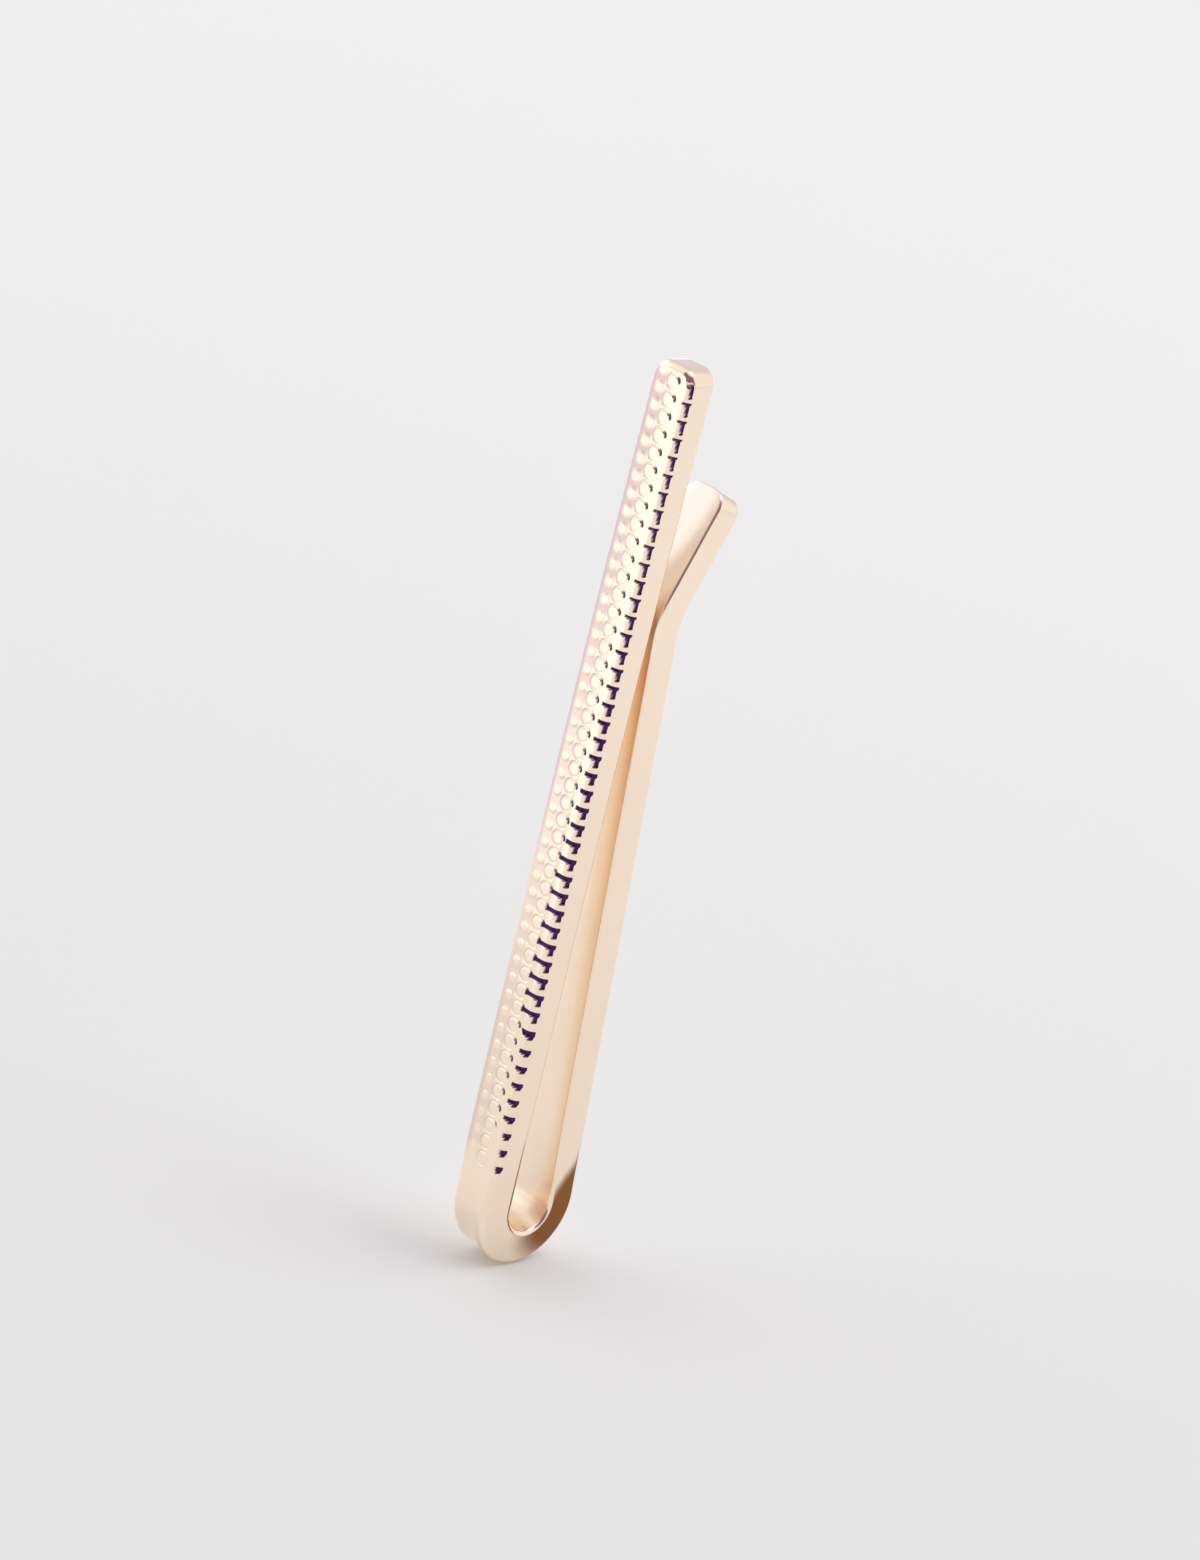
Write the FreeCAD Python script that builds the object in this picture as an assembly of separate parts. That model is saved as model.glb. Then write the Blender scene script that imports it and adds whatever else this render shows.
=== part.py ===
import FreeCAD, Part
import math
import os

V = FreeCAD.Vector

# A slide-on tie clip: one metal strip bent like a hairpin, standing on its bend.
# The origin is on the axis of the bend, in the middle of the strip's width.
# X runs across the strip, -Y is the side that shows on a tie, +Z runs up the front bar.
# All sizes are millimetres and degrees.

# Strip stock
strip_width = 3.3
strip_thickness = 2.3
outer_edge_round = 0.5
inner_edge_round = 0.42
corner_round = 1.2

# Spring bow, the U-bend at the bottom
bow_inner_radius = 1.65

# Front bar, with heights measured from the bow's axis
bar_height = 56.0
bar_straight_height = 21.0
bar_curve_radius = 940.0

# Rear leg and its flared lead-in tip
knee_height = 38.3
nip_gap = 0.42
knee_radius = 4.5
flare_angle = 24.5
flare_length = 6.85

# Field of raised beads on the front bar
relief_depth = 0.32
rim_width = 0.25
top_rim = 0.55
field_bottom = 2.6
run_out_length = 5.0
bead_pitch = 1.147
bead_gap = 0.05
faintest_bead = 0.06


# Where the strip's faces lie
bow_outer_radius = bow_inner_radius + strip_thickness
bar_inner_y = -bow_inner_radius
bar_outer_y = -bow_outer_radius
curve_centre = V(0, bar_inner_y + bar_curve_radius, bar_straight_height)
curve_angle = math.degrees((bar_height - bar_straight_height) / bar_curve_radius)
ACROSS = V(1, 0, 0)
UP = V(0, 0, 1)


def bar_inner_face_y(height):
    """Y of the front bar's inner face, which bows back above its straight stretch."""
    above = max(0.0, height - bar_straight_height)
    return bar_inner_y + bar_curve_radius - math.sqrt(bar_curve_radius ** 2 - above ** 2)


# The leg is the tangent from the bow's inner circle to the nip, the point nearest to the bar
nip_y = bar_inner_face_y(knee_height) + nip_gap
nip_distance = math.hypot(nip_y, knee_height)
leg_angle = math.degrees(math.atan2(knee_height, nip_y) - math.acos(bow_inner_radius / nip_distance))
leg_length = math.sqrt(nip_distance ** 2 - bow_inner_radius ** 2)


def section(half_width, inner_y, outer_y, height):
    """A level rectangle across the front bar, the starting face of each sweep."""
    corners = [
        V(-half_width, outer_y, height),
        V(half_width, outer_y, height),
        V(half_width, inner_y, height),
        V(-half_width, inner_y, height),
    ]
    return Part.Face(Part.makePolygon(corners + corners[:1]))


def strip_section(height):
    return section(strip_width / 2, bar_inner_y, bar_outer_y, height)


def turned(shape, angle):
    """The shape carried round the bow's axis, from the front bar towards the leg."""
    copy = shape.copy()
    copy.rotate(V(0, 0, 0), ACROSS, angle)
    return copy


def turned_direction(vector, angle):
    return FreeCAD.Rotation(ACROSS, angle).multVec(vector)


def along_bar(half_width, inner_y, outer_y, low, high):
    """A rectangle swept up the front bar: straight first, then round its gentle bow."""
    straight = section(half_width, inner_y, outer_y, low).extrude(UP * (bar_straight_height - low))
    angle = math.degrees((high - bar_straight_height) / bar_curve_radius)
    bowed = section(half_width, inner_y, outer_y, bar_straight_height).revolve(curve_centre, -ACROSS, angle)
    return straight.fuse(bowed)


def lies_in(edge, plane):
    """True for an edge that lies in a plane given as (point, normal)."""
    point, normal = plane
    middle = edge.valueAt((edge.FirstParameter + edge.LastParameter) / 2)
    spots = [vertex.Point for vertex in edge.Vertexes] + [middle]
    return all(abs((spot - point).dot(normal)) < 1e-6 for spot in spots)


def is_sharp_and_faces(solid, edge, direction):
    """True for an edge whose two faces turn sharply and of which one looks along a direction."""
    middle = edge.valueAt((edge.FirstParameter + edge.LastParameter) / 2)
    normals = []
    for face in solid.ancestorsOfType(edge, Part.Face):
        u, v = face.Surface.parameter(middle)
        normals.append(face.normalAt(u, v))
    if len(normals) != 2 or math.degrees(normals[0].getAngle(normals[1])) < 20:
        return False
    return any(normal.dot(direction(middle)) > 0.5 for normal in normals)


def rounded(solid, outward, joint_planes, end_plane=None):
    """Round a free end's corners in plan, then the long edges, a little less on the slot's side."""
    if end_plane:
        corners = [
            edge for edge in solid.Edges
            if lies_in(edge, end_plane) and abs(edge.Vertexes[0].Point.x - edge.Vertexes[1].Point.x) < 1e-6
        ]
        solid = solid.makeFillet(corner_round, corners)

    def inward(spot):
        return -outward(spot)

    for radius, direction in ((outer_edge_round, outward), (inner_edge_round, inward)):
        long_edges = [
            edge for edge in solid.Edges
            if is_sharp_and_faces(solid, edge, direction)
            and not any(lies_in(edge, plane) for plane in joint_planes)
        ]
        solid = solid.makeFillet(radius, long_edges)
    return solid


def out_of_bar(spot):
    return V(0, -1, 0)


def out_of_bow(spot):
    return V(0, spot.y, spot.z).normalize()


def out_of_leg(spot):
    return V(0, 1, 0)


# Bead field: the beads are as large as three staggered columns leave room for
field_half_width = strip_width / 2 - rim_width
field_top = bar_height - top_rim
nested_b = 2 * field_half_width + 2 * bead_gap
nested_c = bead_gap ** 2 - (field_half_width - bead_gap) ** 2 - (bead_pitch / 2) ** 2
nested_radius = (math.sqrt(nested_b ** 2 - 12 * nested_c) - nested_b) / 6
bead_radius = min(nested_radius, (bead_pitch - bead_gap) / 2)
bead_column_step = field_half_width - bead_radius - bead_gap
bead_sphere_radius = (bead_radius ** 2 + relief_depth ** 2) / (2 * relief_depth)
first_bead_height = field_top - bead_gap - bead_radius


def relief_at(height):
    """Depth of the field's floor: full over most of the bar, running out to nothing at the bottom."""
    return relief_depth * max(0.0, min(1.0, (height - field_bottom) / run_out_length))


def floor_frame(height):
    """Point on the field's floor at mid-width, and the direction straight out of it."""
    depth = relief_at(height)
    if height <= bar_straight_height:
        slope = 0.0
        if height < field_bottom + run_out_length:
            slope = math.atan2(relief_depth, run_out_length)
        return V(0, bar_outer_y + depth, height), V(0, -math.cos(slope), math.sin(slope))
    angle = (height - bar_straight_height) / bar_curve_radius
    outward = V(0, -math.cos(angle), math.sin(angle))
    return curve_centre + outward * (bar_curve_radius + strip_thickness - depth), outward


def bead(x, height):
    """One dome standing on the field's floor, with its top level with the rim."""
    floor, outward = floor_frame(height)
    rise = relief_at(height)
    centre = floor + V(x, 0, 0) + outward * (rise - bead_sphere_radius)
    base_latitude = math.degrees(math.asin((bead_sphere_radius - rise) / bead_sphere_radius))
    return Part.makeSphere(bead_sphere_radius, centre, outward, base_latitude, 90, 360)


def row_heights(offset):
    """Heights of one column's beads, from the top of the field down to where they fade out."""
    heights = []
    height = first_bead_height - offset
    while relief_at(height) > faintest_bead:
        heights.append(height)
        height -= bead_pitch
    return heights


# Front bar, with the field sunk into its outer face
def make_front_bar():
    blank = along_bar(strip_width / 2, bar_inner_y, bar_outer_y, 0, bar_height)
    top_point = curve_centre + turned_direction(V(0, -bar_curve_radius, 0), -curve_angle)
    top_plane = (top_point, turned_direction(UP, -curve_angle))
    bar = rounded(blank, out_of_bar, [(V(0, 0, 0), UP)], top_plane)
    floor_y = bar_outer_y + relief_depth
    outside_y = bar_outer_y - strip_thickness
    ramp_top = field_bottom + run_out_length
    field = along_bar(field_half_width, floor_y, outside_y, ramp_top, field_top)
    ramp_outline = [
        V(-field_half_width, bar_outer_y, field_bottom),
        V(-field_half_width, floor_y, ramp_top),
        V(-field_half_width, outside_y, ramp_top),
        V(-field_half_width, outside_y, field_bottom),
    ]
    ramp_face = Part.Face(Part.makePolygon(ramp_outline + ramp_outline[:1]))
    ramp = ramp_face.extrude(ACROSS * (2 * field_half_width))
    return bar.cut(field).cut(ramp)


# Raised beads in three staggered columns
def make_bead_column(x, offset):
    return Part.makeCompound([bead(x, height) for height in row_heights(offset)])


# Spring bow, in two halves that meet at its lowest point
def make_spring_bow_front():
    half = strip_section(0).revolve(V(0, 0, 0), ACROSS, 90)
    return rounded(half, out_of_bow, [(V(0, 0, 0), UP), (V(0, 0, 0), V(0, 1, 0))])


def leg_start_plane():
    return V(0, 0, 0), turned_direction(UP, leg_angle)


def make_spring_bow_rear():
    half = turned(strip_section(0), 90).revolve(V(0, 0, 0), ACROSS, 90 + leg_angle)
    return rounded(half, out_of_bow, [(V(0, 0, 0), V(0, 1, 0)), leg_start_plane()])


# Rear leg, straight from the bow to the knee
leg_direction = turned_direction(-UP, 180 + leg_angle)
leg_run = leg_direction * leg_length


def knee_plane():
    point, normal = leg_start_plane()
    return point + leg_run, normal


def make_rear_leg():
    leg = turned(strip_section(0), 180 + leg_angle).extrude(leg_run)
    return rounded(leg, out_of_leg, [leg_start_plane(), knee_plane()])


# Lead-in tip: a knee that turns away from the bar, then a short straight flare
def make_lead_in_tip():
    start = turned(strip_section(0), 180 + leg_angle)
    start.translate(leg_run)
    outward = turned_direction(V(0, -1, 0), 180 + leg_angle)
    knee_axis = leg_run + outward * (bow_outer_radius + knee_radius)
    knee_turn = leg_angle + flare_angle
    knee = start.revolve(knee_axis, -ACROSS, knee_turn)
    end = start.copy()
    end.rotate(knee_axis, -ACROSS, knee_turn)
    flare_run = turned_direction(leg_direction, -knee_turn) * flare_length
    flare = end.extrude(flare_run)
    tip_plane = (end.CenterOfMass + flare_run, flare_run.normalize())
    return rounded(knee.fuse(flare), out_of_leg, [knee_plane()], tip_plane)


pieces = {
    "front_bar": make_front_bar(),
    "bead_column_left": make_bead_column(-bead_column_step, bead_pitch / 2),
    "bead_column_middle": make_bead_column(0, 0),
    "bead_column_right": make_bead_column(bead_column_step, bead_pitch / 2),
    "spring_bow_front": make_spring_bow_front(),
    "spring_bow_rear": make_spring_bow_rear(),
    "rear_leg": make_rear_leg(),
    "lead_in_tip": make_lead_in_tip(),
}

os.makedirs("parts", exist_ok=True)
for name, shape in pieces.items():
    shape.exportStep("parts/" + name + ".step")
    print(name, "solids", len(shape.Solids), "volume", round(shape.Volume, 3), "valid", shape.isValid())
print("leg angle", round(leg_angle, 3), "bead radius", round(bead_radius, 3), "step", round(bead_column_step, 3))
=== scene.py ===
import math

import bpy
from mathutils import Matrix, Vector


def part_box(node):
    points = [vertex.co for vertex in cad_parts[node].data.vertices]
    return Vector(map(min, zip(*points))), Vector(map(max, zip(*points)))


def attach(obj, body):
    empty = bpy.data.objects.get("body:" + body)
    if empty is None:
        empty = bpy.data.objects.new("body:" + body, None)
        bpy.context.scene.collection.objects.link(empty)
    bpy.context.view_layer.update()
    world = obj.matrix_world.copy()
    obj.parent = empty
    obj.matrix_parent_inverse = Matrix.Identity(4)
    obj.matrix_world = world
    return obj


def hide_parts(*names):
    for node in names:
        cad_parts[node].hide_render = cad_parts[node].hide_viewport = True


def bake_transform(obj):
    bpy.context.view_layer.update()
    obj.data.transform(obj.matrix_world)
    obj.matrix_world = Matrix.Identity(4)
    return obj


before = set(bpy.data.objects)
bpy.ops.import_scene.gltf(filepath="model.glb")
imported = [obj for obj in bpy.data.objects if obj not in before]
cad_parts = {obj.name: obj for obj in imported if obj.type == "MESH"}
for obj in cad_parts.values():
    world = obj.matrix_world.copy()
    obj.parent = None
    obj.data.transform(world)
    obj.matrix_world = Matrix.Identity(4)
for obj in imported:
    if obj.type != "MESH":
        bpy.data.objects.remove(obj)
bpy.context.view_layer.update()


# Front bar: the side of the clip that shows on a tie, bowed slightly back towards its top.
# It is one end of a rose-gold plated strip with tumbled edges. Three staggered columns of beads
# are pressed into its face, shallower towards the bow and towards the left.
strip_half_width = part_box("rear_leg")[1].x
strip_thickness = 0.0023
outer_edge_round = 0.0005
outer_round_steps = 12
wall_support = 0.00006
bar_inner_round = 0.00042
inner_round_steps = 5
inner_columns = 4
corner_round = 0.0014
corner_fullness = 0.8
corner_steps = 14
bow_outer_radius = -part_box("spring_bow_front")[0].z
bow_inner_radius = bow_outer_radius - strip_thickness
bend_reach = 0.0095
bend_hollow = 0.00017
bend_hollow_half_width = 0.0014
bend_spread = 0.02
bend_taper = 0.10
bend_twist = 0.16
bend_twist_at_slot = 0.45
bend_lean = 0.08


def bend_share(distance):
    """How far the hard bend has hollowed the strip, at a distance along it from the bow's lowest point."""
    return 0.5 + 0.5 * math.cos(math.pi * min(1.0, abs(distance) / bend_reach))


def edge_levels(inner_round):
    """Inset and depth down one long edge, from the outer face to the slot-side face, where the depth is 0."""
    levels = []
    for step in range(outer_round_steps + 1):
        turn = math.radians(90 - 90 * step / outer_round_steps)
        drop = outer_edge_round * (1 - math.sin(turn))
        levels.append((outer_edge_round * (1 - math.cos(turn)), strip_thickness - drop))
    levels.append((0.0, strip_thickness - outer_edge_round - wall_support))
    for step in range(inner_round_steps + 1):
        turn = math.radians(90 * step / inner_round_steps)
        depth = inner_round * (1 - math.sin(turn))
        levels.append((inner_round * (1 - math.cos(turn)), depth))
    return levels


def section_ring(levels, outer_columns):
    """One turn round the strip's section, as x, depth and inset, from the left end of its outer face."""
    ring = []
    for column in range(outer_columns + 1):
        inset, depth = levels[0]
        ring.append(((strip_half_width - inset) * (2 * column / outer_columns - 1), depth, inset))
    ring += [(strip_half_width - inset, depth, inset) for inset, depth in levels[1:]]
    for column in range(1, inner_columns + 1):
        inset, depth = levels[-1]
        ring.append(((strip_half_width - inset) * (1 - 2 * column / inner_columns), depth, inset))
    return ring + [(inset - strip_half_width, depth, inset) for inset, depth in levels[-2:0:-1]]


class Station:
    """One cross-section of the strip: a point of its slot-side face, the way out of the strip and the way along."""

    def __init__(self, inner, outward, along, height, inner_round, bend=0.0, corner=None):
        self.inner = inner
        self.outward = outward
        self.along = along
        self.height = height
        self.inner_round = inner_round
        self.bend = bend
        self.corner = corner

    def forward(self, inset):
        """How far the section runs on past the station, where it carries a free end round its corners."""
        if self.corner is None:
            return 0.0
        return (corner_round - inset) * math.sin(self.corner) ** corner_fullness

    def place(self, x, depth, inset):
        """A point of the section, narrowed at a free end's corners and drawn by the bend."""
        across = min(1.0, abs(x) / bend_hollow_half_width)
        if self.corner is not None:
            kept = (corner_round - inset) * max(0.0, math.cos(self.corner)) ** corner_fullness
            x *= (strip_half_width - corner_round + kept) / (strip_half_width - inset)
        out = depth / strip_thickness
        x *= 1 + self.bend * (bend_spread - bend_taper * out)
        depth += self.bend * bend_twist * x * (bend_twist_at_slot + (1 - bend_twist_at_slot) * out)
        depth -= self.bend * bend_hollow * (0.5 + 0.5 * math.cos(math.pi * across))
        x -= self.bend * bend_lean * strip_thickness * (out - 0.5)
        return self.inner + self.outward * depth + self.along * self.forward(inset) + Vector((x, 0, 0))


def corner_stations(last):
    """The stations that carry a free end round its two corners in plan."""
    turns = [math.radians(90 * step / corner_steps) for step in range(1, corner_steps + 1)]
    place = (last.inner, last.outward, last.along, last.height, last.inner_round, last.bend)
    return [Station(*place, turn) for turn in turns]


def strip_piece(name, stations, outer_columns, has_end):
    """A skin round a run of stations, closed by an end wall where the strip ends freely."""
    points = []
    heights = []
    face_shares = []
    slot_shares = []
    for station in stations:
        levels = edge_levels(station.inner_round)
        ring = section_ring(levels, outer_columns)
        for x, depth, inset in ring:
            points.append(station.place(x, depth, inset))
            heights.append(station.height + station.forward(inset))
            face_shares.append(max(0.0, 1 - (strip_thickness - depth) / outer_edge_round))
            slot_shares.append(max(0.0, 1 - depth / station.inner_round))
    count = len(ring)
    faces = []
    for start in range(0, count * (len(stations) - 1), count):
        for column in range(count):
            right = (column + 1) % count
            faces.append((start + column, start + right, start + count + right, start + count + column))
    if has_end:
        last = count * (len(stations) - 1)
        steps = len(levels) - 1
        right_side = [last + outer_columns + step for step in range(steps + 1)]
        left_side = [last] + [last + count - step for step in range(1, steps)]
        inner_row = [right_side[-1] + column for column in range(inner_columns + 1)]
        faces.append((*range(last, last + outer_columns + 1), right_side[1], left_side[1]))
        for step in range(1, steps - 1):
            faces.append((left_side[step], right_side[step], right_side[step + 1], left_side[step + 1]))
        faces.append((left_side[-1], right_side[-2], *inner_row))
    if Vector((1, 0, 0)).cross(stations[0].along).dot(stations[0].outward) < 0:
        faces = [face[::-1] for face in faces]
    mesh = bpy.data.meshes.new(name)
    mesh.from_pydata(points, [], faces)
    mesh.shade_smooth()
    shares = (("height", heights), ("face_share", face_shares), ("slot_share", slot_shares))
    for attribute, values in shares:
        mesh.attributes.new(attribute, "FLOAT", "POINT").data.foreach_set("value", values)
    piece = bpy.data.objects.new(name, mesh)
    bpy.context.scene.collection.objects.link(piece)
    return piece


bar_height = 0.056
bar_straight_height = 0.021
bar_curve_radius = 0.940
bar_columns = 40
bead_pitch = 0.001147
first_bead_height = 0.0549
stations_per_bead = 23
plain_height = 0.0016
plain_steps = 8
seam_sliver = 0.00002
bow_quarter = (bow_inner_radius + strip_thickness / 2) * math.pi / 2


def bar_station(height):
    angle = max(0.0, height - bar_straight_height) / bar_curve_radius
    outward = Vector((0, -math.cos(angle), math.sin(angle)))
    along = Vector((0, math.sin(angle), math.cos(angle)))
    centre = Vector((0, bar_curve_radius - bow_inner_radius, bar_straight_height))
    inner = centre + outward * bar_curve_radius
    inner.z += min(0.0, height - bar_straight_height)
    return Station(inner, outward, along, height, bar_inner_round, bend_share(bow_quarter + height))


beaded_length = bar_height - corner_round - plain_height
bar_steps = round(beaded_length / bead_pitch * stations_per_bead)
bar_heights = [0.0, seam_sliver] + [plain_height * step / plain_steps for step in range(1, plain_steps)]
bar_heights += [plain_height + beaded_length * step / bar_steps for step in range(bar_steps + 1)]
bar_stations = [bar_station(height) for height in bar_heights]
bar_stations += corner_stations(bar_stations[-1])
front_bar = strip_piece("front_bar_beaded", bar_stations, bar_columns, True)


class Wire:
    """One socket of a node tree. Arithmetic on it adds Math nodes, and node() adds any other node."""

    def __init__(self, tree, socket):
        self.tree = tree
        self.socket = socket

    def node(self, kind, settings, values, output=0):
        added = self.tree.nodes.new(kind)
        for name, setting in settings.items():
            setattr(added, name, setting)
        for name, value in values.items():
            if isinstance(value, Wire):
                self.tree.links.new(value.socket, added.inputs[name])
            else:
                added.inputs[name].default_value = value
        return Wire(self.tree, added.outputs[output])

    def math(self, operation, *others):
        return self.node("ShaderNodeMath", {"operation": operation}, dict(enumerate((self, *others))))

    def ramp(self, start, end, low, high):
        """A smooth step from low at start to high at end."""
        values = {"Value": self, 1: start, 2: end, 3: low, 4: high}
        return self.node("ShaderNodeMapRange", {"interpolation_type": "SMOOTHSTEP"}, values)

    def mix(self, low, high):
        """A colour that goes from low to high as this value goes from 0 to 1."""
        return self.node("ShaderNodeMix", {"data_type": "RGBA"}, {0: self, 6: low, 7: high}, 2)

    def __add__(self, other):
        return self.math("ADD", other)

    __radd__ = __add__

    def __sub__(self, other):
        return self.math("SUBTRACT", other)

    def __rsub__(self, other):
        return self.node("ShaderNodeMath", {"operation": "SUBTRACT"}, {0: other, 1: self})

    def __mul__(self, other):
        return self.math("MULTIPLY", other)

    __rmul__ = __mul__

    def __truediv__(self, other):
        return self.math("DIVIDE", other)


def rose_gold(name, dullness, ripple_size, ripple_depth, painted_knee_light=False):
    """Polished plate in two close tones, with fine lengthwise polishing lines and a faint ripple.
    It may carry painted light on the slot side inside the knee, has painted mauve shade between the left-hand
    beads, and is dark in the pits."""
    pale_tone = (0.985, 0.835, 0.675, 1.0)
    # Painted light: a paler tone on the slot side inside the knee, standing in for light the slot reflects there.
    deep_tone = (0.97, 0.80, 0.63, 1.0)
    knee_light_tone = (1.0, 0.92, 0.83, 1.0)
    # Painted shade: a mauve tone for the valleys between the left-hand beads, the left of the rings and the left
    # edge.
    painted_shade_tone = (0.46, 0.34, 0.38, 1.0)
    pit_tone = (0.06, 0.02, 0.12, 1.0)
    knee_tone_from = 0.0355
    knee_tone_full = 0.0381
    cloud_scale = 300.0
    line_scale = 9000.0
    line_stretch = (1.0, 1.0, 0.03)
    line_dullness = 0.03
    line_depth = 0.0000012
    unpolished_dullness = 0.2
    material = bpy.data.materials.new(name)
    material.use_nodes = True
    tree = material.node_tree
    shader = tree.nodes["Principled BSDF"]
    shader.inputs["Metallic"].default_value = 1.0
    spot = Wire(tree, tree.nodes.new("ShaderNodeTexCoord").outputs["Object"])

    def share(attribute):
        return spot.node("ShaderNodeAttribute", {"attribute_name": attribute}, {}, "Fac")

    cloud = spot.node("ShaderNodeTexNoise", {}, {"Vector": spot, "Scale": cloud_scale, "Detail": 3.0})
    drawn = spot.node("ShaderNodeMapping", {}, {"Vector": spot, "Scale": line_stretch})
    lines = spot.node("ShaderNodeTexNoise", {}, {"Vector": drawn, "Scale": line_scale, "Detail": 2.0})
    ripple = spot.node("ShaderNodeTexNoise", {}, {"Vector": spot, "Scale": 1 / ripple_size, "Detail": 1.0})
    slot_side = share("slot_share")
    in_pit = share("pit_share")
    tone = cloud.mix(pale_tone, deep_tone)
    if painted_knee_light:
        # Painted light on the slot side inside the knee.
        light_at_knee = share("height").ramp(knee_tone_from, knee_tone_full, 0.0, 1.0) * slot_side
        tone = light_at_knee.mix(tone, knee_light_tone)
    # Painted shade laid into the plate's colour.
    tone = share("painted_shade_share").mix(tone, painted_shade_tone)
    tone = in_pit.mix(tone, pit_tone)
    dull = (dullness + unpolished_dullness * (slot_side + in_pit)) * (0.7 + 0.6 * cloud)
    dull = dull + line_dullness * (lines - 0.5)
    surface = lines * line_depth + ripple * ripple_depth
    bump = surface.node("ShaderNodeBump", {}, {"Height": surface, "Strength": 1.0, "Distance": 1.0})
    tree.links.new(tone.socket, shader.inputs["Base Color"])
    tree.links.new(dull.socket, shader.inputs["Roughness"])
    tree.links.new(bump.socket, shader.inputs["Normal"])
    return material


def bead_press(material):
    """Presses the pattern: dark pits above and right of the right-hand beads, rings round the middle pads,
    and shallow valleys between the beads on the left, with painted mauve shade. Towards the bow the pits become
    hooks, then dots."""
    tree = bpy.data.node_groups.new("bead_press", "GeometryNodeTree")
    tree.interface.new_socket("Geometry", in_out="INPUT", socket_type="NodeSocketGeometry")
    sizes = {
        "Bead pitch": bead_pitch,
        "First bead height": first_bead_height,
        "Straight height": bar_straight_height,
        "Bar curve": bar_curve_radius,
        "Shoulder reach": 0.85 * outer_edge_round,
        "Shoulder fade": 4.0,
        "Field top": 0.0555,
        "Top fade": 0.0001,
        "Field bottom": 0.0025,
        "Bottom fade": 0.0003,
        "Run-out": 0.0018,
        "Hooks from": 0.0132,
        "Hooks all below": 0.0120,
        "Dots from": 0.0064,
        "Dots all below": 0.0052,
        "Shorter pits from": 0.048,
        "Shorter pits all below": 0.024,
        "Longer grooves from": 0.052,
        "Longer grooves all below": 0.034,
        "Longest grooves from": 0.030,
        "Longest grooves all below": 0.019,
        "Paler valleys from": 0.030,
        "Paler valleys all below": 0.016,
        "Lip rise": 0.00027,
        "Lip fall at the hooks": 0.00026,
        "Lip slope": 4.0,
        "Pit length": 0.00090,
        "Pit shorter below": 0.00016,
        "Pit shorter at the hooks": 0.00026,
        "Pit left edge": 0.00144,
        "Pit right edge": 0.00191,
        "Pit taper": 0.22,
        "Pit slope": 1.2,
        "Rim": 0.00214,
        "Groove height": 0.00014,
        "Groove height below": 0.00020,
        "Groove start": 0.00125,
        "Longer groove start": -0.0003,
        "Longest groove start": -0.00055,
        "Hook start": 0.00062,
        "Dot start": 0.00033,
        "Deepest": 0.00016,
        "Pit darkening start": 0.00001,
        "Pit darkening depth": 0.00007,
        "Middle column": 0.00012,
        "Middle rise": 0.00002,
        "Ring radius": 0.00046,
        "Ring width": 0.00010,
        "Ring depth": 0.00003,
        "Ring shade width": 0.00016,
        "Ring shade": 0.8,
        "Ring shade balance": 0.3,
        "Crescent radius": 0.00053,
        "Crescent depth": 0.00012,
        "Crescent across": 0.93,
        "Crescent up": 0.37,
        "Crescent sharpness": 7.0,
        "Valley column": 0.00075,
        "Valley half width": 0.00035,
        "Valley depth": 0.00006,
        "Left column": -0.00080,
        "Left set-down": 0.00064,
        "Left bead radius": 0.00018,
        "Left slope": 0.18,
        "Left side slope": 0.4,
        "Left valley": 0.00006,
        "Left valley below": 0.00003,
        "Left valley edge": -0.00033,
        "Left valley shade": 0.7,
        "Left rim": -0.0015,
        "Left rim shade from": -0.0009,
        "Left rim shade full": -0.0013,
        "Left rim shade": 0.8,
        "Paler shade": 0.5,
    }
    inputs = {}
    for name, value in sizes.items():
        socket = tree.interface.new_socket(name, in_out="INPUT", socket_type="NodeSocketFloat")
        inputs[socket.identifier] = value
    tree.interface.new_socket("Geometry", in_out="OUTPUT", socket_type="NodeSocketGeometry")
    given = tree.nodes.new("NodeGroupInput")
    result = tree.nodes.new("NodeGroupOutput")
    size = {name: Wire(tree, given.outputs[name]) for name in sizes}
    body = Wire(tree, given.outputs["Geometry"])
    place = body.node("GeometryNodeInputPosition", {}, {})
    x = body.node("ShaderNodeSeparateXYZ", {}, {0: place}, "X")
    height = body.node("GeometryNodeInputNamedAttribute", {"data_type": "FLOAT"}, {"Name": "height"})
    share = body.node("GeometryNodeInputNamedAttribute", {"data_type": "FLOAT"}, {"Name": "face_share"})

    def below(change, start=0.0, end=1.0):
        """A value that goes from start to end over the stretch of the bar where the pattern changes."""
        return height.ramp(size[change + " from"], size[change + " all below"], start, end)

    def above_row(set_down):
        """Height above the nearest row of the lattice, once it is set down by a distance."""
        turns = (height - size["First bead height"] + set_down) / size["Bead pitch"]
        return (turns - turns.math("ROUND")) * size["Bead pitch"]

    def length(across, up):
        return (across * across + up * up).math("SQRT")

    def least(first, *others):
        for other in others:
            first = first.math("MINIMUM", other)
        return first

    def most(first, *others):
        for other in others:
            first = first.math("MAXIMUM", other)
        return first

    hooks = below("Hooks")
    dots = below("Dots")
    shorter = below("Shorter pits")
    over_edge = x + (1 - share) * size["Shoulder reach"]

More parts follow.
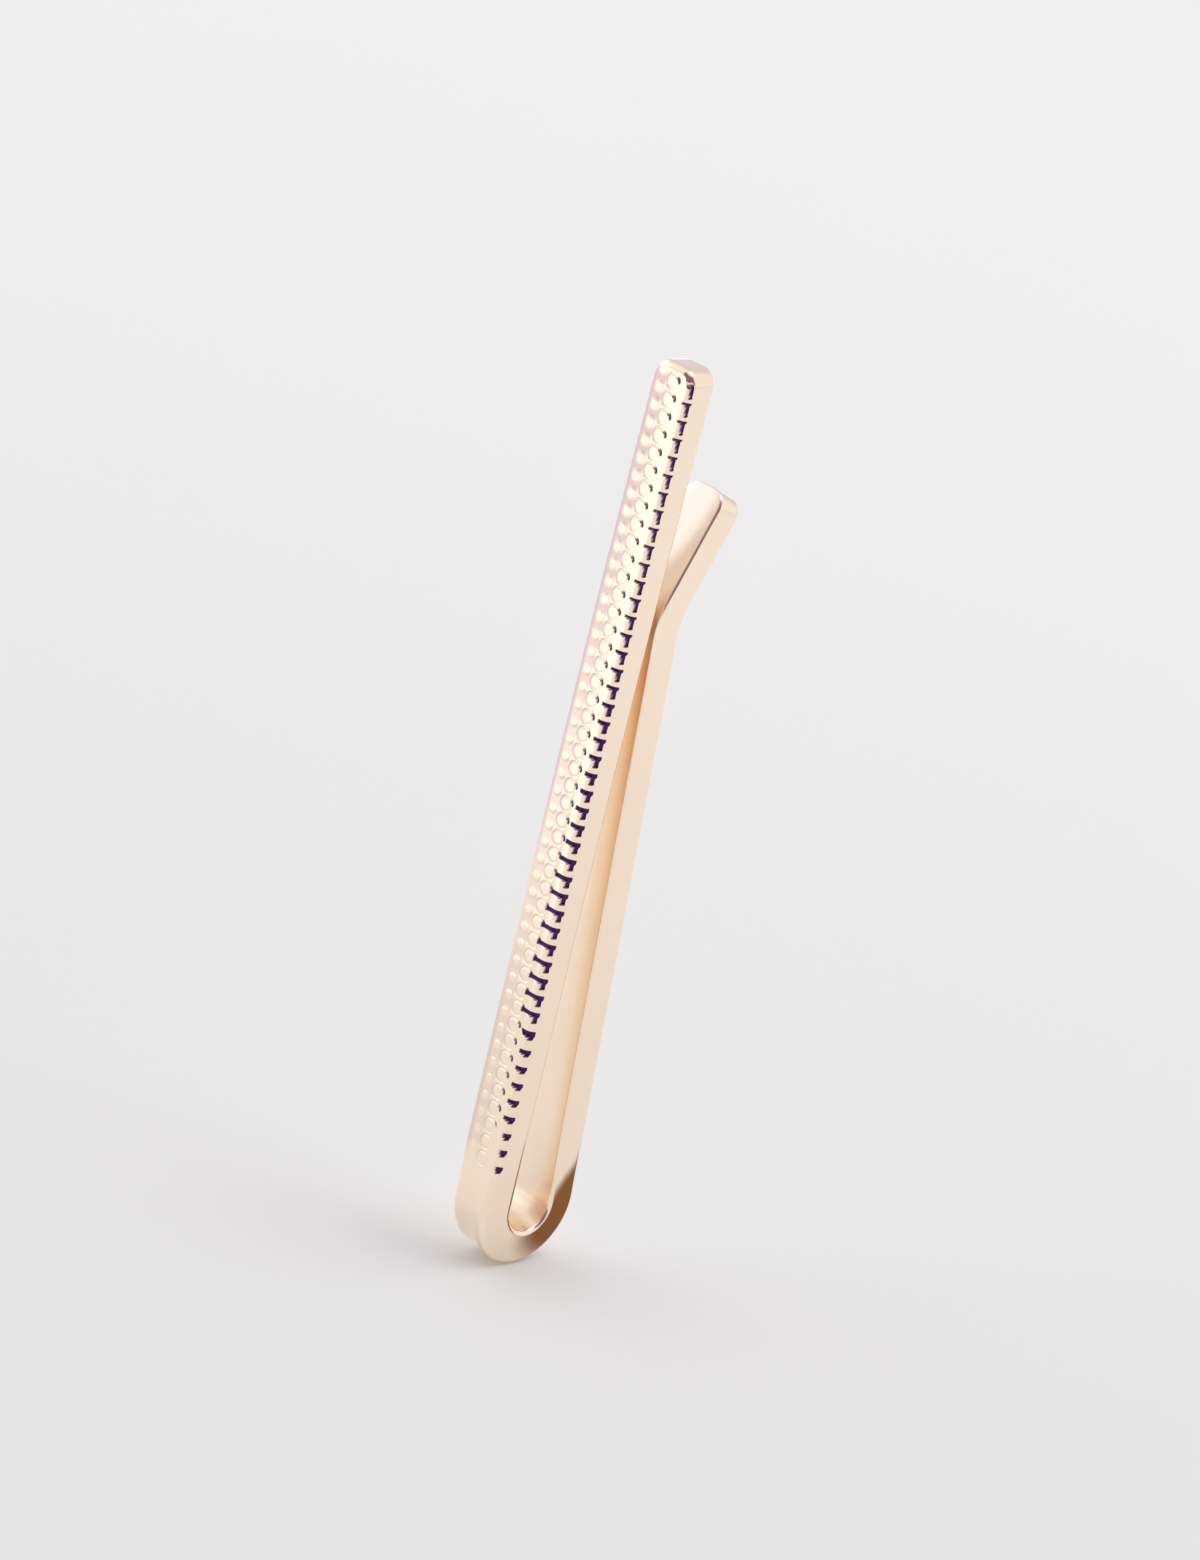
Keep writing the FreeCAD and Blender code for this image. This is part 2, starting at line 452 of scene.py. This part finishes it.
    lip_rise = size["Lip rise"] - size["Lip fall at the hooks"] * hooks
    half_pitch = size["Bead pitch"] * 0.5
    below_lip = half_pitch - above_row(half_pitch - lip_rise)
    lip = below_lip * size["Lip slope"]
    pit_length = size["Pit length"] - size["Pit shorter below"] * shorter
    pit_length = pit_length - size["Pit shorter at the hooks"] * hooks
    pit_left = size["Pit left edge"] + size["Pit taper"] * below_lip * (1 - shorter)
    pit = least(pit_length - below_lip, over_edge - pit_left) * size["Pit slope"]
    pit = least(pit, (size["Pit right edge"] - over_edge) * size["Lip slope"])
    start = size["Groove start"] + size["Longer groove start"] * below("Longer grooves")
    start = start + size["Longest groove start"] * below("Longest grooves")
    start = start + size["Hook start"] * hooks + size["Dot start"] * dots
    groove_height = size["Groove height"] + size["Groove height below"] * shorter
    groove = least(groove_height - below_lip, over_edge - start) * size["Pit slope"]
    rim = (size["Rim"] - over_edge) * size["Lip slope"]
    cut = least(most(pit, groove), lip, rim, size["Deepest"])

    across = x - size["Middle column"]
    above_middle = above_row(0 - size["Middle rise"])
    from_middle = most(length(across, above_middle), 0.00001)
    off_ring = (from_middle - size["Ring radius"]) / size["Ring width"]
    off_crescent = (from_middle - size["Crescent radius"]) / size["Ring width"]
    to_right = (across * size["Crescent across"] + above_middle * size["Crescent up"]) / from_middle
    to_right = most(1 - size["Crescent sharpness"] * (1 - to_right), 0.0) * (1 - dots)
    crescent = most(1 - off_crescent * off_crescent, 0.0) * to_right * size["Crescent depth"]
    ring = most(1 - off_ring * off_ring, 0.0) * size["Ring depth"] + crescent
    off_valley = (x - size["Valley column"]) / size["Valley half width"]
    valley = (1 - off_valley * off_valley) * size["Valley depth"]

    from_left = length(x - size["Left column"], above_row(size["Left set-down"]))
    left_valley = least(
        (from_left - size["Left bead radius"]) * size["Left slope"],
        (size["Left valley edge"] - x) * size["Left side slope"],
        (x - size["Left rim"]) * size["Left side slope"],
        size["Left valley"] - size["Left valley below"] * shorter,
    )
    bottom = size["Field bottom"]
    run_out = height.ramp(bottom, bottom + size["Run-out"], 0.0, 1.0)
    left_valley = left_valley * run_out

    in_field = height.ramp(size["Field top"] - size["Top fade"], size["Field top"], 1.0, 0.0)
    in_field = in_field * height.ramp(bottom - size["Bottom fade"], bottom + size["Bottom fade"], 0.0, 1.0)
    in_field = in_field * least(share * size["Shoulder fade"], 1.0)
    depth = most(cut, ring, valley, left_valley, 0.0) * in_field
    # Darker colour where pits and crescents are cut, the deeper the darker.
    pit_darkening = most(cut, crescent).ramp(size["Pit darkening start"], size["Pit darkening depth"], 0.0, 1.0) * in_field

    # Painted shade: mauve shading left of the middle rings, in the left-hand valleys and along the left edge,
    # weaker lower down.
    balance = size["Ring shade balance"]
    to_left = most(balance - (1 - balance) * across / from_middle, 0.0)
    off_shade = (from_middle - size["Ring radius"]) / size["Ring shade width"]
    ring_shade = most(1 - off_shade * off_shade, 0.0) * to_left * size["Ring shade"]
    valley_shade = left_valley / size["Left valley"] * size["Left valley shade"]
    rim_shade = x.ramp(size["Left rim shade from"], size["Left rim shade full"], 0.0, size["Left rim shade"])
    shade = most(ring_shade, valley_shade, rim_shade) * in_field * run_out
    shade = shade * below("Paler valleys", 1.0, size["Paler shade"])

    angle = most(height - size["Straight height"], 0.0) / size["Bar curve"]
    inward = {"X": 0.0, "Y": depth * angle.math("COSINE"), "Z": 0 - depth * angle.math("SINE")}
    offset = depth.node("ShaderNodeCombineXYZ", {}, inward)
    pressed = body.node("GeometryNodeSetPosition", {}, {"Geometry": body, "Offset": offset})
    for name, value in (("pit_share", pit_darkening), ("painted_shade_share", shade)):
        toned = {"Geometry": pressed, "Name": name, "Value": value}
        pressed = body.node("GeometryNodeStoreNamedAttribute", {"data_type": "FLOAT", "domain": "POINT"}, toned)
    whole = body.node("GeometryNodeRealizeInstances", {}, {"Geometry": pressed})
    plated = body.node("GeometryNodeSetMaterial", {}, {"Geometry": whole, "Material": material})
    tree.links.new(plated.socket, result.inputs[0])
    return tree, inputs


press_tree, press_inputs = bead_press(
    rose_gold("rose_gold_bar_plate", dullness=0.06, ripple_size=0.0011, ripple_depth=0.0000010)
)
press = front_bar.modifiers.new("bead_press", "NODES")
press.node_group = press_tree
for identifier, value in press_inputs.items():
    press[identifier] = value
bpy.context.view_layer.update()
pressed_bar = front_bar.evaluated_get(bpy.context.evaluated_depsgraph_get())
pressed_mesh = bpy.data.meshes.new_from_object(pressed_bar)
front_bar.modifiers.remove(press)
front_bar.data = pressed_mesh
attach(front_bar, "front_half")
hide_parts("front_bar", "bead_column_left", "bead_column_middle", "bead_column_right")


# Spring bow: the hard U-bend that keeps the clip closed, and hollows the strip across its width.
# It flexes whenever a tie is pushed in, and it joins the two halves of the clip.
knee_height = 0.0383
nip_gap = 0.00042
leg_inner_round = 0.0002
knee_above = knee_height - bar_straight_height
nip_sink = bar_curve_radius - math.sqrt(bar_curve_radius ** 2 - knee_above ** 2)
nip_y = nip_sink - bow_inner_radius + nip_gap
nip_distance = math.hypot(nip_y, knee_height)
leg_angle = math.atan2(knee_height, nip_y) - math.acos(bow_inner_radius / nip_distance)
leg_length = math.sqrt(nip_distance ** 2 - bow_inner_radius ** 2)
bow_turn = math.pi + leg_angle
bow_steps = 72
bow_sliver = 0.004
plain_columns = 24


def bow_station(turn):
    outward = Vector((0, -math.cos(turn), -math.sin(turn)))
    along = Vector((0, math.sin(turn), -math.cos(turn)))
    distance = (turn - math.pi / 2) / (math.pi / 2) * bow_quarter
    inner_round = bar_inner_round + (leg_inner_round - bar_inner_round) * turn / bow_turn
    return Station(outward * bow_inner_radius, outward, along, 0.0, inner_round, bend_share(distance))


bow_turns = [0, bow_sliver] + [bow_turn * step / bow_steps for step in range(1, bow_steps)]
bow_turns += [bow_turn - bow_sliver, bow_turn]
bow_stations = [bow_station(turn) for turn in bow_turns]
spring_bow = strip_piece("spring_bow_bend", bow_stations, plain_columns, False)
bow_plate = rose_gold("rose_gold_bow_plate", dullness=0.07, ripple_size=0.0005, ripple_depth=0.0000035)
spring_bow.data.materials.append(bow_plate)
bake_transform(spring_bow)
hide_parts("spring_bow_front", "spring_bow_rear")


# Rear leg and lead-in tip: the plain back of the clip, which closes on the bar just below the knee.
# Above the knee the strip turns away, so that the edge of a tie finds its way in.
leg_steps = 60
knee_radius = 0.0045
knee_steps = 36
flare_angle = math.radians(24.5)
flare_length = 0.00685
flare_steps = 12
leg_start = bow_station(bow_turn)
leg_up = leg_start.along
leg_out = leg_start.outward
leg_runs = [0.0, seam_sliver] + [leg_length * step / leg_steps for step in range(1, leg_steps + 1)]
leg_stations = [
    Station(leg_start.inner + leg_up * run, leg_out, leg_up, run, leg_inner_round, bend_share(bow_quarter + run))
    for run in leg_runs
]
knee_reach = strip_thickness + knee_radius
knee_centre = leg_stations[-1].inner + leg_out * knee_reach
for step in range(1, knee_steps + 1):
    turn = Matrix.Rotation(-(leg_angle + flare_angle) * step / knee_steps, 3, "X")
    out = turn @ leg_out
    inner = knee_centre - out * knee_reach
    leg_stations.append(Station(inner, out, turn @ leg_up, leg_length, leg_inner_round))
knee_end = leg_stations[-1]
for step in range(1, flare_steps + 1):
    inner = knee_end.inner + knee_end.along * ((flare_length - corner_round) * step / flare_steps)
    leg_stations.append(Station(inner, knee_end.outward, knee_end.along, leg_length, leg_inner_round))
leg_stations += corner_stations(leg_stations[-1])
rear_leg = strip_piece("rear_leg_flared", leg_stations, plain_columns, True)
# The leg's plate carries painted light inside the knee.
leg_plate = rose_gold(
    "rose_gold_leg_plate", dullness=0.06, ripple_size=0.0011, ripple_depth=0.0000012, painted_knee_light=True
)
rear_leg.data.materials.append(leg_plate)
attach(rear_leg, "spring_leg")
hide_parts("rear_leg", "lead_in_tip")


# Table: a wide sheet of pale paper, on which the clip stands on its bow.
# Only the metal sees three things on it, which stand for the room: the light of a window on the left,
# a faint glow further off, and a painted brown shadow of the clip close behind the bow.
paper_half_side = 1.5
paper_tone = (0.87, 0.90, 0.88, 1.0)
# Painted shadow: a brown patch on the paper behind the bow, which stands for the clip's own shadow.
painted_shadow_tone = (0.27, 0.135, 0.06, 1.0)
brown_x, brown_y = 0.0056, 0.0104
brown_ahead, brown_aside = 0.91, 0.41
brown_half_length = 0.0105
brown_half_width = 0.0036
window_x, window_y = -0.985, -0.174
away_x, away_y = -0.645, 0.764
paper_level = min(vertex.co.z for vertex in spring_bow.data.vertices)
paper_corners = [(-paper_half_side, -paper_half_side), (paper_half_side, -paper_half_side),
                 (paper_half_side, paper_half_side), (-paper_half_side, paper_half_side)]
paper = bpy.data.meshes.new("paper")
paper.from_pydata([(x, y, paper_level) for x, y in paper_corners], [], [(0, 1, 2, 3)])
table = bpy.data.objects.new("paper", paper)
bpy.context.scene.collection.objects.link(table)
paper_finish = bpy.data.materials.new("paper_finish")
paper_finish.use_nodes = True
paper_tree = paper_finish.node_tree
paper_shader = paper_tree.nodes["Principled BSDF"]
paper_shader.inputs["Roughness"].default_value = 0.95
paper_shader.inputs["Specular IOR Level"].default_value = 0.1
paper_shader.inputs["Emission Strength"].default_value = 1.0
paper_spot = Wire(paper_tree, paper_tree.nodes.new("ShaderNodeTexCoord").outputs["Object"])
paper_x = paper_spot.node("ShaderNodeSeparateXYZ", {}, {0: paper_spot}, "X")
paper_y = paper_spot.node("ShaderNodeSeparateXYZ", {}, {0: paper_spot}, "Y")
light_path = paper_tree.nodes.new("ShaderNodeLightPath")
in_view = Wire(paper_tree, light_path.outputs["Is Camera Ray"])
in_metal = Wire(paper_tree, light_path.outputs["Is Glossy Ray"])
in_metal = in_metal + Wire(paper_tree, light_path.outputs["Is Transmission Ray"])
far_glow = (paper_x * away_x + paper_y * away_y).ramp(-0.06, 0.36, 0.06, 0.16)
distance = (paper_x * paper_x + paper_y * paper_y).math("SQRT")
to_window = paper_x * window_x + paper_y * window_y
window_glow = to_window.ramp(0.0, 0.012, 0.0, 0.06) + to_window.ramp(0.036, 0.075, 0.0, 0.36)
metal_glow = window_glow + distance.ramp(0.03, 0.14, 0.11, 0.17)
from_brown_x = paper_x - brown_x
from_brown_y = paper_y - brown_y
behind = (from_brown_x * brown_aside + from_brown_y * brown_ahead) / brown_half_length
beside = (from_brown_x * brown_ahead - from_brown_y * brown_aside) / brown_half_width
# Painted shadow of the clip behind the bow, which only glossy rays see.
painted_shadow = (behind * behind + beside * beside).ramp(0.4, 1.2, 1.0, 0.0) * in_metal
glow = (in_view * far_glow + in_metal * metal_glow) * (1 - painted_shadow.math("MINIMUM", 1.0))
paper_tree.links.new(painted_shadow.mix(paper_tone, painted_shadow_tone).socket, paper_shader.inputs["Base Color"])
paper_tree.links.new(glow.socket, paper_shader.inputs["Emission Color"])
paper.materials.append(paper_finish)


# Light: a pale room all round with a bright window on the left and a dimmer far wall.
# In front of the clip the room is dark, and one soft lamp hangs overhead, slightly behind and to the right.
room_tone = (0.95, 0.94, 0.94, 1.0)
far_wall_tone = (0.78, 0.73, 0.80, 1.0)
window_tone = (1.50, 1.50, 1.50, 1.0)
low_dusk_tone = (0.22, 0.12, 0.11, 1.0)
high_dusk_tone = (0.25, 0.15, 0.22, 1.0)
backdrop_tone = (0.83, 0.83, 0.83, 1.0)
front_x, front_y = 0.643, -0.766
world = bpy.data.worlds.new("studio")
bpy.context.scene.world = world
world.use_nodes = True
sky = world.node_tree
look = Wire(sky, sky.nodes.new("ShaderNodeTexCoord").outputs["Generated"])
look_x = look.node("ShaderNodeSeparateXYZ", {}, {0: look}, "X")
look_y = look.node("ShaderNodeSeparateXYZ", {}, {0: look}, "Y")
up = look.node("ShaderNodeSeparateXYZ", {}, {0: look}, "Z")
level = (look_x * look_x + look_y * look_y).math("SQRT").math("MAXIMUM", 0.001)
to_front = (look_x * front_x + look_y * front_y) / level
to_left = (look_x * window_x + look_y * window_y) / level
unlit = to_front.ramp(0.34, 0.54, 0.0, 1.0) * up.ramp(0.02, 0.07, 0.0, 1.0) * up.ramp(0.80, 0.90, 1.0, 0.0)
window = to_left.ramp(0.77, 0.92, 0.0, 1.0) * up.ramp(0.50, 0.65, 1.0, 0.0)
walls = to_front.ramp(-0.6, -0.9, 0.0, 1.0).mix(room_tone, far_wall_tone)
dusk = up.ramp(0.12, 0.45, 0.0, 1.0).mix(low_dusk_tone, high_dusk_tone)
room = unlit.mix(window.mix(walls, window_tone), dusk)
seen_directly = Wire(sky, sky.nodes.new("ShaderNodeLightPath").outputs["Is Camera Ray"])
background = sky.nodes["Background"]
background.inputs["Strength"].default_value = 1.0
sky.links.new(seen_directly.mix(room, backdrop_tone).socket, background.inputs["Color"])

lamp_light = bpy.data.lights.new("soft_lamp", "AREA")
lamp_light.shape = "DISK"
lamp_light.size = 0.34
lamp_light.energy = 0.5
lamp = bpy.data.objects.new("soft_lamp", lamp_light)
lamp_way = Vector((0.20, 0.22, 0.955))
lamp_distance = 0.7
lamp_turn = lamp_way.to_track_quat("Z", "Y").to_matrix().to_4x4()
lamp.matrix_world = Matrix.Translation(lamp_way * lamp_distance) @ lamp_turn
bpy.context.scene.collection.objects.link(lamp)


# Camera: a long lens at the front right, a little above the clip and turned on its axis.
# The light is followed through enough bounces for the slot, where bar and leg mirror each other.
camera_place = Vector((0.26571, -0.31633, 0.17884))
camera_aim = Vector((0.002365, -0.00395, 0.029949))
camera_roll = math.radians(13.42)
focal_pixels = 7167.5
image_height = 1560.0
lens = bpy.data.cameras.new("camera")
lens.sensor_fit = "VERTICAL"
lens.sensor_height = 36.0
lens.lens = focal_pixels / image_height * lens.sensor_height
lens.clip_start = 0.01
camera = bpy.data.objects.new("camera", lens)
bpy.context.scene.collection.objects.link(camera)
camera_turn = (camera_aim - camera_place).to_track_quat("-Z", "Y").to_matrix()
camera_turn = camera_turn @ Matrix.Rotation(camera_roll, 3, "Z")
camera.matrix_world = Matrix.Translation(camera_place) @ camera_turn.to_4x4()
bpy.context.scene.camera = camera
bpy.context.scene.view_settings.view_transform = "Standard"
bpy.context.scene.cycles.glossy_bounces = 16
bpy.context.scene.cycles.max_bounces = 20
